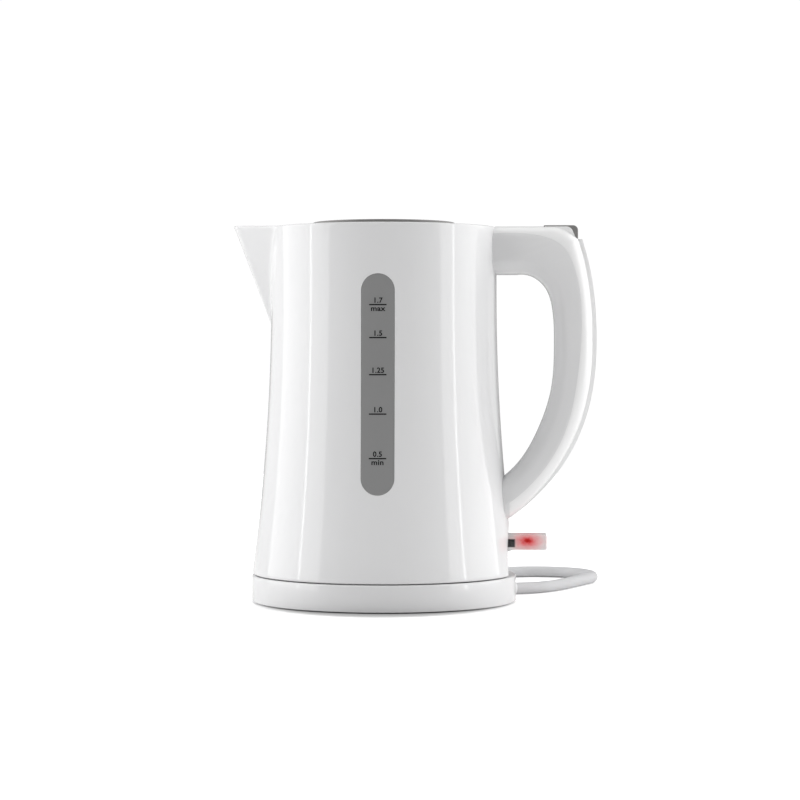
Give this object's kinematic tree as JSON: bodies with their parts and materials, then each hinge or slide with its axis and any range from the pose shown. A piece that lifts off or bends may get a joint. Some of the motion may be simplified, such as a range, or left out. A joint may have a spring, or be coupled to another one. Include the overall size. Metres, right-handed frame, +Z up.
{
  "type": "electric kettle",
  "caption": "Cordless jug kettle with beak, flush lid, D handle, water window and rocker switch, standing on a round power base with a lead and plug.",
  "frame": {"origin": "on the table under the middle of the power base, at the centre of the rubber ring's lower face", "axes": "+Z up, spout towards -X, handle towards +X, water window towards -Y"},
  "size_m": [0.2185, 0.2902, 0.2221],
  "materials": {
    "white_shell": "glossy moulded",
    "white_lead": "soft PVC",
    "grey_plastic": "satin moulded",
    "smoked_window": "translucent, satin",
    "clear_lever": "clear moulded",
    "black_plastic": "moulded",
    "rubber": "matt",
    "silicone": "translucent, matt",
    "brass": "plain",
    "steel": "plain",
    "steel_mesh": "woven",
    "aluminium": "cast",
    "brown_wire": "PVC",
    "blue_wire": "PVC",
    "green_wire": "PVC",
    "red_lamp": "lit"
  },
  "bodies": {
    "base": {"base_cover": "white_shell", "base_plate": "white_shell", "ring_foot": "rubber", "base_screws": "steel", "connector_tower": "black_plastic", "live_contact": "brass", "neutral_contact": "brass", "earth_contact": "brass", "cord_relief": "white_shell", "cord_clamp": "black_plastic", "clamp_screws": "steel", "live_wire": "brown_wire", "neutral_wire": "blue_wire", "earth_wire": "green_wire", "cord_run": "white_lead", "cord_coil": "white_lead", "cord_tail": "white_lead", "plug_body": "white_shell", "plug_pins": "brass", "plug_earth_clips": "steel"},
    "jug": {"jug_body": "white_shell", "top_collar": "white_shell", "filter_frame": "white_shell", "filter_mesh": "steel_mesh", "water_window": "smoked_window", "heater_plate": "steel", "plate_seal": "silicone", "heat_diffuser": "aluminium", "heating_element": "steel", "element_pins": "steel", "control_housing": "black_plastic", "live_pin": "brass", "neutral_ring": "brass", "earth_ring": "brass", "bimetal_discs": "steel", "bottom_cover": "white_shell", "bottom_screws": "steel", "steam_tube": "white_shell", "steam_tube_seal": "silicone", "switch_frame": "black_plastic", "steam_disc": "steel", "switch_pins": "steel", "fixed_contact": "brass", "jug_wires": "brown_wire", "handle_core": "white_shell", "handle_cover": "white_shell", "handle_screws": "steel", "lid_hinge_pin": "steel", "button_spring": "steel"},
    "lid": {"lid_cover": "grey_plastic", "lid_inner": "white_shell", "lid_seal": "silicone"},
    "lid_button": {"lid_button": "grey_plastic"},
    "release_rod": {"release_rod": "black_plastic"},
    "switch_lever": {"switch_lever": "clear_lever", "lever_core": "black_plastic", "switch_lamp": "red_lamp"},
    "trip_lever": {"trip_lever": "black_plastic"}
  },
  "joints": [
    {"name": "jug_lift", "type": "slide", "parent": "base", "child": "jug", "axis": [0, 0, 1], "range_m": [0, 0.12]},
    {"name": "lid_hinge", "type": "hinge", "parent": "jug", "child": "lid", "pos_m": [0.046, 0, 0.217], "axis": [0, 1, 0], "range_deg": [0, 78]},
    {"name": "button_press", "type": "slide", "parent": "jug", "child": "lid_button", "axis": [0, 0, -1], "range_m": [0, 0.003], "stiffness_N_per_m": 400, "springref_m": -0.001, "deforming": ["button_spring"]},
    {"name": "rod_slide", "type": "slide", "parent": "jug", "child": "release_rod", "axis": [-1, 0, 0], "range_m": [0, 0.003]},
    {"name": "switch_tilt", "type": "hinge", "parent": "jug", "child": "switch_lever", "pos_m": [0.0665, 0, 0.0352], "axis": [0, -1, 0], "range_deg": [0, 10]},
    {"name": "trip_tilt", "type": "hinge", "parent": "jug", "child": "trip_lever", "pos_m": [0.056, 0, 0.029], "axis": [0, -1, 0], "range_deg": [-7.7, 0]}
  ],
  "couplings": [
    {"joint": "rod_slide", "follows": "button_press", "ratio": 1},
    {"joint": "trip_tilt", "follows": "switch_tilt", "ratio": -0.77}
  ]
}
